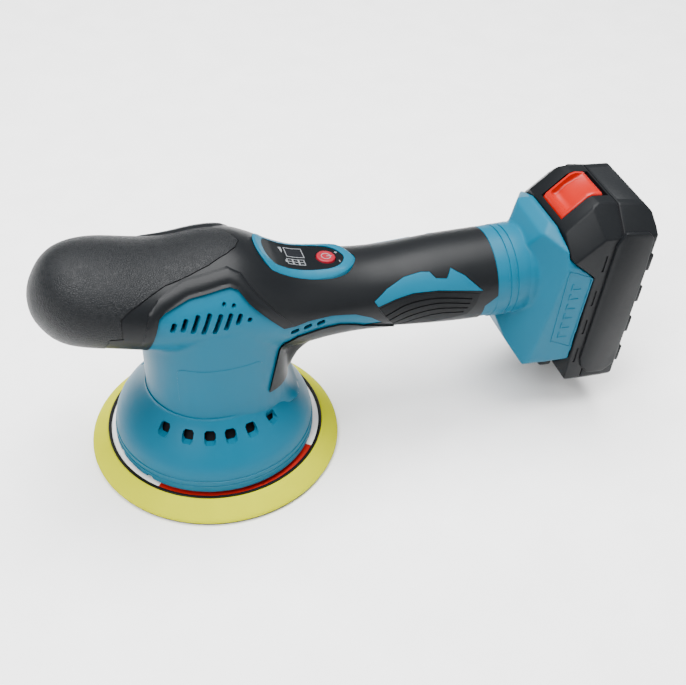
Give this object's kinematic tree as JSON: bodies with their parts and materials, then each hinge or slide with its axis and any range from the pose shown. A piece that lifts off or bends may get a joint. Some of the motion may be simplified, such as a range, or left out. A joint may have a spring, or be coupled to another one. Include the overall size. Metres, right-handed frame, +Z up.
{
  "type": "dual action polisher",
  "caption": "Cordless dual action polisher: vented bell over an offset spinning foam pad, rubber-skinned head and handle with a control panel, and a slide-on battery pack behind a tilted foot.",
  "frame": {"origin": "on the motor axis at the pad's hook face, the plane the tool stands on at rest", "axes": "+Z up along the motor axis, +X along the handle towards the battery pack, the tool's left side faces -Y"},
  "size_m": [0.3502, 0.1508, 0.1533],
  "materials": {
    "teal_plastic": "satin",
    "black_rubber": "matte",
    "grained_rubber": "leather grain",
    "grip_rubber": "matte",
    "inlay_plastic": "satin",
    "dark_plastic": "satin",
    "film": "gloss",
    "display": "gloss",
    "button_orange": "satin",
    "board_green": "satin",
    "steel": "machined",
    "iron": "cast",
    "copper": "enamelled wire",
    "brass": "machined",
    "aluminium": "machined",
    "cell_metal": "sleeved",
    "foam": "fine foam",
    "hook": "hook face",
    "plate_black": "satin",
    "print_white": "printed",
    "wire_red": "matte",
    "wire_black": "matte"
  },
  "bodies": {
    "tool": {"housing_left": "teal_plastic", "housing_right": "teal_plastic", "housing_screws": "steel", "bell_shroud": "teal_plastic", "front_cover": "grained_rubber", "overmould_left": "black_rubber", "overmould_right": "black_rubber", "neck_spine": "black_rubber", "crescent_inlays": "inlay_plastic", "grip_pads": "grip_rubber", "panel_bezel": "teal_plastic", "panel_film": "film", "display_module": "display", "display_board": "board_green", "button_switch": "dark_plastic", "stator_core": "steel", "stator_coils": "copper", "motor_mount": "iron", "lower_bearing": "steel", "motor_end_cap": "iron", "upper_bearing": "steel", "hall_board": "board_green", "controller_board": "board_green", "heat_sink": "aluminium", "board_capacitor": "aluminium", "motor_leads": "wire_black", "battery_lead_red": "wire_red", "battery_lead_black": "wire_black", "panel_ribbon": "wire_black", "battery_dock": "dark_plastic", "contact_blades": "brass"},
    "drive": {"motor_shaft": "steel", "rotor_core": "steel", "cooling_fan": "dark_plastic", "eccentric_hub": "steel", "counterweight": "brass", "pad_bearing_lower": "steel", "pad_bearing_upper": "steel", "bearing_spacer": "steel", "dust_seal": "black_rubber"},
    "pad": {"hook_disc": "hook", "foam_disc": "foam", "backing_plate": "plate_black", "plate_label": "print_white", "pad_spindle": "steel", "spindle_circlip": "steel"},
    "battery": {"battery_front_case": "dark_plastic", "battery_rear_case": "dark_plastic", "pack_top_plate": "film", "battery_cells": "cell_metal", "cell_holder": "dark_plastic", "cell_straps": "steel", "battery_board": "board_green", "battery_terminals": "brass", "pack_bolts": "steel", "latch_spring": "steel"},
    "latch": {"latch_button": "button_orange"},
    "button": {"power_button": "button_orange"}
  },
  "joints": [
    {"name": "drive_spin", "type": "hinge", "parent": "tool", "child": "drive", "pos_m": [0, 0, 0], "axis": [0, 0, 1], "continuous": true},
    {"name": "pad_spin", "type": "hinge", "parent": "drive", "child": "pad", "pos_m": [0.00089, 0.00286, 0], "axis": [0, 0, 1], "continuous": true},
    {"name": "battery_slide", "type": "slide", "parent": "tool", "child": "battery", "axis": [0.0732, 0, 0.9973], "range_m": [0, 0.1]},
    {"name": "latch_slide", "type": "slide", "parent": "battery", "child": "latch", "axis": [0.9973, 0, -0.0732], "range_m": [0, 0.003], "stiffness_N_per_m": 400},
    {"name": "power_button", "type": "slide", "parent": "tool", "child": "button", "axis": [-0.1219, 0, -0.9925], "range_m": [0, 0.0008], "stiffness_N_per_m": 600}
  ]
}
